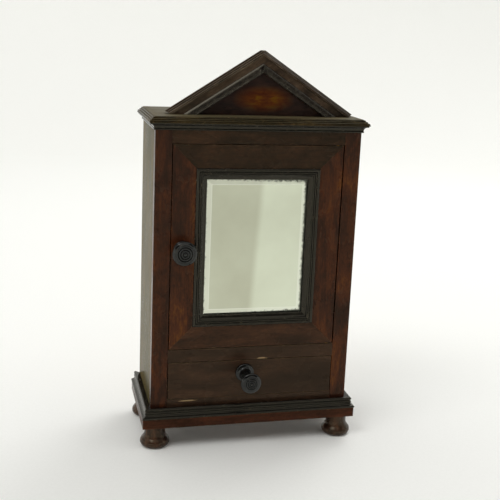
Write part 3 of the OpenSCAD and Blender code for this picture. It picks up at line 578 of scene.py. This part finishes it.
def meshFrom(name, points, faces):
    # a closed mesh with doubled points merged and its faces turned outwards
    mesh = bpy.data.meshes.new(name)
    mesh.from_pydata(points.tolist(), [], faces)
    shell = bmesh.new()
    shell.from_mesh(mesh)
    bmesh.ops.remove_doubles(shell, verts=shell.verts, dist=1e-7)
    bmesh.ops.recalc_face_normals(shell, faces=shell.faces)
    shell.to_mesh(mesh)
    shell.free()
    piece = bpy.data.objects.new(name, mesh)
    scene.collection.objects.link(piece)
    return piece


def easedCopy(node, ease):
    # a CAD board's own mesh, its flat faces merged, ready for rounded arrises
    shell = bmesh.new()
    shell.from_mesh(nodes[node].data)
    bmesh.ops.remove_doubles(shell, verts=shell.verts, dist=2e-6)
    bmesh.ops.dissolve_limit(shell, angle_limit=math.radians(0.5), verts=shell.verts, edges=shell.edges)
    mesh = bpy.data.meshes.new(node + "Board")
    shell.to_mesh(mesh)
    shell.free()
    piece = bpy.data.objects.new(node + "Board", mesh)
    scene.collection.objects.link(piece)
    smoothAndEase(piece, ease)
    return piece


def bendOf(first, pull, last, count=12):
    # a parabola from first to last that leans towards pull
    t = np.linspace(0, 1, count)[:, None]
    return (1 - t) ** 2 * np.array(first) + 2 * t * (1 - t) * np.array(pull) + t ** 2 * np.array(last)


def carriedProfile(profile, origin, outward, upward, along, span, mitres, wobble=0.05 * mm, step=7 * mm):
    # the point at (u, v) is origin + outward * a(u) + upward * h(u) + along * s, where s runs with v
    # between two ends that lean with a and h as the mitres say; the run also bows by a hair, as
    # hand-planed moulding does, by the sine of the distance along it
    a, h = profile[:, 0], profile[:, 1]
    start = span[0] + mitres[0][0] * a + mitres[0][1] * h
    end = span[1] + mitres[1][0] * a + mitres[1][1] * h
    rows = max(3, int(abs(span[1] - span[0]) / step))
    v = np.linspace(0, 1, rows)[:, None]
    s = start + (end - start) * v
    bow = wobble * np.sin(math.pi * v) * np.sin(s / (31 * mm) + a[0])
    points = (np.array(origin) + (a + bow)[..., None] * outward + (h + 0 * s)[..., None] * upward
              + s[..., None] * along)
    count = len(a)
    caps = [list(range(count))[::-1], list(range((rows - 1) * count, rows * count))]
    return points.reshape(-1, 3), ringQuads(rows, count).tolist() + caps


def mouldingPiece(name, runs, material, body, slot, cadNodes, ease=0.12 * mm):
    # several mitred runs joined into one piece
    points, faces = [], []
    for runPoints, runFaces in runs:
        before = sum(map(len, points))
        faces += [[k + before for k in face] for face in runFaces]
        points.append(runPoints)
    piece = meshFrom(name, np.concatenate(points), faces)
    smoothAndEase(piece, ease, 32.0, 2)
    return standFor(piece, material, body, slot, *cadNodes)


def turnedPiece(name, outline, centre, axis, material, body, slot, cadNode, around=96):
    # the point at (u, v) is the outline's radius and height at u, turned about the axis by v
    radius, height = outline[:, 0], outline[:, 1]
    side = back if abs(axis[2]) > 0.5 else right
    other = np.cross(axis, side)
    v = np.linspace(0, 2 * math.pi, around, endpoint=False)
    ring = np.cos(v)[:, None] * side + np.sin(v)[:, None] * other
    points = (np.array(centre) + radius[:, None, None] * ring[None] + height[:, None, None] * np.array(axis))
    piece = meshFrom(name, points.reshape(-1, 3), ringQuads(len(outline), around).tolist())
    smoothAndEase(piece, 0, 35.0)
    return standFor(piece, material, body, slot, cadNode)


boards = {
    # node: (ease in mm, grain axis, shift of the pattern, body, slot, look)
    "face_stile_left": (0.5, "Z", 1.3, "carcass", "mahogany_frame", {}),
    "face_stile_right": (0.5, "Z", 7.9, "carcass", "mahogany_frame", {}),
    "top_rail": (0.2, "X", 3.1, "carcass", "mahogany_frame", railLook),
    "mid_rail": (0.35, "X", 5.7, "carcass", "mahogany_frame",
                 {**drawerLook, "scars": ((0.0118, 0.0960, 0.0055, 0.0012),)}),
    "bottom_rail": (0.3, "X", 9.2, "carcass", "mahogany_frame",
                    {**drawerLook, "scars": ((-0.0700, 0.0511, 0.0095, 0.0008),)}),
    "side_panel_left": (0.25, "Z", 12.4, "carcass", "mahogany_case", sideLook),
    "side_panel_right": (0.25, "Z", 17.8, "carcass", "mahogany_case", sideLook),
    "base_board": (1.0, "X", 20.5, "carcass", "mahogany_case", baseLook),
    "cornice_board": (0.2, "X", 23.6, "carcass", "mahogany_case", crownLook),
    "pediment_board": (0.3, "X", 26.1, "carcass", "mahogany_case", {}),
    "door_stile_left": (0.45, "Z", 31.7, "door", "mahogany_door", {}),
    "door_stile_right": (0.45, "Z", 36.2, "door", "mahogany_door", {}),
    "door_rail_top": (0.45, "X", 39.4, "door", "mahogany_door", railLook),
    "door_rail_bottom": (0.45, "X", 43.3, "door", "mahogany_door", lowRailLook),
    "drawer_front": (0.7, "X", 47.7, "drawer", "mahogany_drawer", drawerLook),
}


def makeBoards():
    for node, (ease, axis, shift, body, slot, look) in boards.items():
        wood = polishedMahogany(node + "Mahogany", axis, shift=shift, look=look)
        standFor(easedCopy(node, ease * mm), wood, body, slot, node)
    print("boards made:", len(boards))


def plinthProfile():
    out = lowOf("plinth_moulding_front")[1]
    reach = (frontY - out) / mm
    return np.concatenate([
        [[0, 0]],
        arcOf((reach - 1.3, 1.3), 1.3, -90, 90),
        arcOf((reach - 1.3, 5.2), 2.6, -95, -180),
        arcOf((reach - 4.6, 6.6), 1.4, -70, 75),
        arcOf((reach - 4.8, 9.9), 1.6, -75, 90),
        [[0, 9.8]],
    ]) * mm


def bedProfile():
    height = (highOf("cornice_bed_front")[2] - lowOf("cornice_bed_front")[2]) / mm
    reach = (frontY - lowOf("cornice_bed_front")[1]) / mm
    return np.concatenate([
        [[0, 0]],
        arcOf((1, 1), 1, -90, 80, 10),
        bendOf((1.6, 2.3), (2, height - 1.8), (reach - 0.4, height - 1.5)),
        [[reach, height - 1.5], [reach, height], [0, height]],
    ]) * mm


def crownProfile():
    height = (highOf("cornice_crown_front")[2] - caseTop) / mm
    reach = (frontY - lowOf("cornice_crown_front")[1]) / mm
    inner = (highOf("cornice_crown_front")[1] - frontY) / mm
    fillet, reeds, top = 1.2, 3, 1.0
    reed = (height - 1.5 * fillet) / reeds
    stepBack = (reach - 0.4 - top) / reeds
    rounds = [arcOf((reach - 0.4 - reed / 2 - k * stepBack, fillet + (k + 0.5) * reed), reed / 2, -90, 90, 9)
              for k in range(reeds)]
    return np.concatenate([
        [[-inner, 0], [reach, 0], [reach, fillet]], *rounds,
        [[top, height - fillet / 2], [top, height], [-inner, height]],
    ]) * mm


def frontAndSides(name, profile, height, materialFor, slot, cadFront, cadLeft, cadRight):
    # one run along the front and one down each side, mitred where they meet
    front = carriedProfile(profile, (0, frontY, height), -back, up, right, (-halfWidth, halfWidth),
                           ((-1, 0), (1, 0)))
    sides = {
        "Left": carriedProfile(profile, (-halfWidth, 0, height), -right, up, back, (frontY, backY),
                               ((-1, 0), (0, 0))),
        "Right": carriedProfile(profile, (halfWidth, 0, height), right, up, back, (frontY, backY),
                                ((-1, 0), (0, 0))),
    }
    mouldingPiece(name + "Front", [front], materialFor("X"), "carcass", slot, [cadFront])
    if cadLeft == cadRight:
        mouldingPiece(name + "Sides", list(sides.values()), materialFor("Y"), "carcass", slot, [cadLeft])
    else:
        for side, cad in (("Left", cadLeft), ("Right", cadRight)):
            mouldingPiece(name + side, [sides[side]], materialFor("Y"), "carcass", slot, [cad])


sightMoulding = {"reed": 0.8, "roll": 1.8, "width": 12.0, "under": 3.7, "glassDepth": 4.0}


def sightProfile():
    look = sightMoulding
    proud = (frontY - lowOf("mirror_moulding_sides")[1]) / mm
    rear = (highOf("mirror_moulding_sides")[1] - frontY) / mm
    rebate = look["width"] - look["under"]
    depth = np.concatenate([
        [[0, rear], [0, 1.4 - proud]],
        arcOf((1.8, 1.8 - proud), look["roll"], 192, 342),
        arcOf((4.5, 1.2 - proud), look["reed"], 200, 340),
        arcOf((6.3, 1.6 - proud), look["reed"], 200, 340),
        bendOf((7.4, 2.4 - proud), (9.2, look["glassDepth"] - 2), (look["width"], look["glassDepth"] - 1.4)),
        [[look["width"], look["glassDepth"]], [rebate, look["glassDepth"]], [rebate, rear]],
    ])
    return depth * (mm, -mm)


def makeSightMoulding():
    low, high = lowOf("mirror_moulding_sides"), highOf("mirror_moulding_sides")
    profile = sightProfile()
    upright = ((1, 0), (-1, 0))
    left = carriedProfile(profile, (low[0], frontY, 0), right, -back, up, (low[2], high[2]), upright)
    rightRun = carriedProfile(profile, (high[0], frontY, 0), -right, -back, up, (low[2], high[2]), upright)
    bottom = carriedProfile(profile, (0, frontY, low[2]), up, -back, right, (low[0], high[0]), upright)
    top = carriedProfile(profile, (0, frontY, high[2]), -up, -back, right, (low[0], high[0]), upright)
    mouldingPiece("sightMouldingSides", [left, rightRun], ebonisedWood("ebonisedSightUpright", "Z", shift=4),
                  "door", "ebonised_moulding", ["mirror_moulding_sides"])
    mouldingPiece("sightMouldingEnds", [bottom, top], ebonisedWood("ebonisedSightLevel", "X", shift=8),
                  "door", "ebonised_moulding", ["mirror_moulding_ends"])


def makeMouldings():
    frontAndSides("plinthMoulding", plinthProfile(), baseTop,
                  lambda axis: ebonisedWood("ebonisedPlinth" + axis, axis, shift=2), "ebonised_moulding",
                  "plinth_moulding_front", "plinth_moulding_sides", "plinth_moulding_sides")
    frontAndSides("bedMoulding", bedProfile(), lowOf("cornice_bed_front")[2],
                  lambda axis: ebonisedWood("ebonisedBed" + axis, axis, shift=6), "ebonised_moulding",
                  "cornice_bed_front", "cornice_bed_sides", "cornice_bed_sides")
    frontAndSides("crownMoulding", crownProfile(), caseTop,
                  lambda axis: polishedMahogany("crownMahogany" + axis, axis, shift=51, look=crownLook),
                  "mahogany_cornice", "cornice_crown_front", "cornice_crown_left", "cornice_crown_right")
    makeSightMoulding()
    print("mouldings made")


beadLook = {"black": "#1d1916", "bloom": "#2f2924", "rubbed": "#8a7d6c", "gloss": 0.24, "relief": 0.05,
            "knockSize": 4 * mm}
fasciaLook = {"dark": "#1b130e", "brown": "#30231a", "red": "#463629", "light": "#5f4d3e"}
capLook = {"dark": "#201913", "brown": "#3c3128", "red": "#56493d", "light": "#726353"}
pedimentLook = {"slope": 33.1, "beadWidth": 8.0, "nose": 0.8}


def makePediment():
    slope = math.radians(pedimentLook["slope"])
    turnLeft, turnRight = (0, slope, 0), (0, -slope, 0)
    for node, turn in (("rake_cap_left", turnLeft), ("rake_cap_right", turnRight)):
        wood = polishedMahogany(node + "Mahogany", "X", turn, 55, look=capLook)
        standFor(easedCopy(node, 0.2 * mm), wood, "carcass", "mahogany_cornice", node)
    wood = polishedMahogany("rakeFasciaMahogany", "X", turnLeft, 61, look=fasciaLook)
    standFor(easedCopy("rake_fascias", 0.2 * mm), wood, "carcass", "mahogany_cornice", "rake_fascias")
    nodes["tympanum_panel"].data.materials.clear()
    nodes["tympanum_panel"].data.materials.append(figuredBurr("amboynaBurr"))
    # a nosing with a rounded back that falls outwards, cut level at the cornice, mitred at the peak
    low, high = lowOf("rake_beads"), highOf("rake_beads")
    middle = (low[0] + high[0]) / 2
    proud = (high[1] - low[1]) / mm
    nose, wide = pedimentLook["nose"], pedimentLook["beadWidth"]
    profile = np.concatenate([
        [[0, 0]], arcOf((nose, proud - nose), nose, 180, 45),
        bendOf((1.8 * nose, proud - 0.9), (0.7 * wide, proud - 1), (wide, 0.6)), [[wide, 0]],
    ]) * mm
    reach = (high[0] - low[0]) / 2 - wide * mm / math.sin(slope)
    ends = ((-1 / math.tan(slope), 0), (math.tan(slope), 0))
    runs = []
    for side in (1, -1):
        outward = np.array([side * math.sin(slope), 0, math.cos(slope)])
        rising = np.array([-side * math.cos(slope), 0, math.sin(slope)])
        runs.append(carriedProfile(profile, (middle + side * reach, high[1], corniceTop), outward, -back,
                                   rising, (0, reach / math.cos(slope)), ends, wobble=0))
    mouldingPiece("rakeBeads", runs, ebonisedWood("ebonisedRakeBead", "X", turnLeft, 11, beadLook), "carcass",
                  "ebonised_moulding", ["rake_beads"])
    print("pediment made")


burrLook = {
    "curlWidth": 5 * mm, "curlLength": 14 * mm,
    "halfLength": 31 * mm, "halfHeight": 13 * mm,        # of the bright patch
    "aside": 2.5 * mm, "rise": 0.385,                    # of its centre, the rise as a share of the panel
    "amber": "#644102", "orange": "#592c05", "russet": "#451c06", "dark": "#1a110e", "brown": "#38261e",
    "specular": 0.07,
}


def figuredBurr(name):
    # amboyna burr veneer: orange-brown with tight curls that fade to dark red away from the middle
    material, tree = newMaterial(name)
    place = addNode(tree, "ShaderNodeTexCoord").outputs["Object"]
    low, high = lowOf("tympanum_panel"), highOf("tympanum_panel")
    x, z = (low[0] + high[0]) / 2 + burrLook["aside"], low[2] + burrLook["rise"] * (high[2] - low[2])
    halfLength, halfHeight = burrLook["halfLength"], burrLook["halfHeight"]
    centred = addNode(tree, "ShaderNodeMapping",
                      {"Vector": place, "Location": (-x / halfLength, 0, -z / halfHeight),
                       "Scale": (1 / halfLength, 0, 1 / halfHeight)})
    away = addNode(tree, "ShaderNodeVectorMath", {0: centred.outputs[0]}, operation="LENGTH")
    curls = grainPattern(tree, place, "X", burrLook["curlWidth"], burrLook["curlLength"], 4, 0.4)
    broken = addNode(tree, "ShaderNodeMath", {0: curls.outputs["Fac"], 1: 0.7, 2: away.outputs["Value"]},
                     operation="MULTIPLY_ADD")
    glow = addNode(tree, "ShaderNodeMapRange", {"Value": broken.outputs[0], "From Min": 1.5,
                                                "From Max": 0.85})
    figure = addNode(tree, "ShaderNodeValToRGB", {"Fac": curls.outputs["Fac"]},
                     stops=[(0.36, burrLook["russet"]), (0.62, burrLook["amber"]), (0.5, burrLook["orange"])])
    field = addNode(tree, "ShaderNodeValToRGB", {"Fac": curls.outputs["Fac"]},
                    stops=[(0.35, burrLook["dark"]), (0.7, burrLook["brown"])])
    colour = addNode(tree, "ShaderNodeMix", {0: glow.outputs[0], 6: field.outputs["Color"],
                                             7: figure.outputs["Color"]}, data_type="RGBA")
    rough = addNode(tree, "ShaderNodeMapRange", {"Value": curls.outputs["Fac"], "To Min": 0.2,
                                                 "To Max": 0.45})
    bump = addNode(tree, "ShaderNodeBump", {"Height": curls.outputs["Fac"], "Strength": 0.1,
                                            "Distance": 0.15 * mm})
    showShader(tree, addNode(tree, "ShaderNodeBsdfPrincipled",
                             {"Base Color": colour.outputs[2], "Roughness": rough.outputs[0],
                              "Specular IOR Level": burrLook["specular"], "Normal": bump.outputs[0]}))
    return material


def footOutline(radius, height, dowelRadius, dowelTop):
    # a flat sole, a round bulge, a hollow neck that flares to the base board, and the dowel
    return np.concatenate([
        [[0, 0], [radius - 5.2, 0]],
        arcOf((radius - 5.2, 5.2), 5.2, -90, 45, 18)[1:],
        bendOf((radius - 2.3, 10), (radius - 4.9, 12.5), (radius - 4.7, 17.5), 12),
        bendOf((radius - 4.7, 17.5), (radius - 4.6, 22), (radius - 4, height), 8)[1:],
        [[dowelRadius, height], [dowelRadius, dowelTop], [0, dowelTop]],
    ]) * mm


footLook = {"figureWidth": 9 * mm, "specular": 0.34, "gloss": 0.16, "dark": "#190e0a",
            "brown": "#2c1b13", "red": "#41291c", "light": "#5c3f2c"}


def makeFeet():
    for node in ("foot_front_left", "foot_front_right", "foot_back_left", "foot_back_right"):
        low, high = lowOf(node), highOf(node)
        centre = ((low[0] + high[0]) / 2, (low[1] + high[1]) / 2, 0)
        outline = footOutline((high[0] - low[0]) / 2 / mm, lowOf("base_board")[2] / mm, 5, high[2] / mm)
        wood = polishedMahogany(node + "Mahogany", "Z", shift=centre[0] * 90 + centre[1] * 40,
                                look=footLook)
        turnedPiece(node + "Turning", outline, centre, up, wood, "carcass", "mahogany_turned", node)
    print("feet turned")


def knobOutline(radius, reach, tail):
    # from the tail inside the wood to the dome: flange, hollow neck, disc, rim, three rings, small dome
    flange, gap = 10.3, 0.3
    ring = (radius - 4.5) / 8
    rings = [arcOf((radius - 4.5 - 2.35 * k * ring, reach - 2.4 + 0.35 * k), ring, -10, 190)
             for k in range(3)]
    dome = 2.1 * ring
    return np.concatenate([
        tail, [[flange, gap]],
        arcOf((flange - 1.3, 1.6), 1.3, 0, 90, 8),
        bendOf((7.6, 2.9), (4.4, 4.2), (4.5, reach * 0.4)),
        bendOf((4.6, reach * 0.45), (5, reach - 11), (radius - 2, reach - 7)),
        arcOf((radius - 1.8, reach - 4.8), 1.8, -60, 60),
        [[radius - 2.2, reach - 2.4], [radius - 3.4, reach - 2.6]], *rings,
        bendOf((dome, reach - 1.9), (dome * 0.8, reach), (0, reach)),
    ]) * mm


knobLook = {"gloss": 0.1, "dull": 0.2, "specular": 0.5, "relief": 0.03, "tint": "#f3f5f2",
            "black": "#060605", "bloom": "#100f0d", "knockSize": 3 * mm}


def makeKnobs():
    tongueFront = (lowOf("latch_tongue")[1] - frontY) / mm
    tongueBack = (highOf("latch_tongue")[1] - frontY) / mm
    tails = {
        "door_knob": [[0, -tongueBack], [3, -tongueBack], [3, -tongueFront], [4, -tongueFront], [4, 0.3]],
        "drawer_knob": [[0, -7], [3.5, -7], [3.5, 0], [10.3, 0]],
    }
    for node, body in (("door_knob", "latch"), ("drawer_knob", "drawer")):
        low, high = lowOf(node), highOf(node)
        centre = ((low[0] + high[0]) / 2, frontY, (low[2] + high[2]) / 2)
        outline = knobOutline((high[0] - low[0]) / 2 / mm, (frontY - low[1]) / mm, tails[node])
        black = ebonisedWood("ebonised" + node, "Y", shift=centre[2] * 50,
                             look=knobLook)
        turnedPiece(node + "Turning", outline, centre, -back, black, body, "ebonised_knob", node)
    print("knobs turned")


insideGrain = {
    "back_panel": "Z", "bottom_board": "X", "divider_board": "X", "carcass_top": "X", "shelf": "X",
    "shelf_bearers": "Y", "drawer_guides": "Y", "drawer_stops": "X", "door_stop": "X",
    "door_backboard": "Z", "drawer_sides": "Y", "drawer_back": "X", "drawer_bottom": "X",
    "pediment_dowels": "Z", "pediment_glue_blocks": "X",
}
brassNodes = ("pivot_pins", "pivot_bushes", "latch_tongue", "latch_screw", "backboard_buttons",
              "backboard_screws", "base_screws", "drawer_knob_screw")


def dressCadNodes():
    pine = {axis: barePine("barePine" + axis, axis, shift=len(axis)) for axis in "XYZ"}
    dressed = {node: pine[axis] for node, axis in insideGrain.items()}
    brass = dullBrass("dullBrass")
    dressed.update({node: brass for node in brassNodes})
    dressed["back_pins"] = blackIron("blackIron")
    dressed["mirror_plate"] = agedSilvering("agedSilvering")
    for node, material in dressed.items():
        nodes[node].data.materials.clear()
        nodes[node].data.materials.append(material)
    print("CAD nodes dressed:", len(dressed))


makeBoards()
makeMouldings()
makePediment()
makeFeet()
makeKnobs()
dressCadNodes()
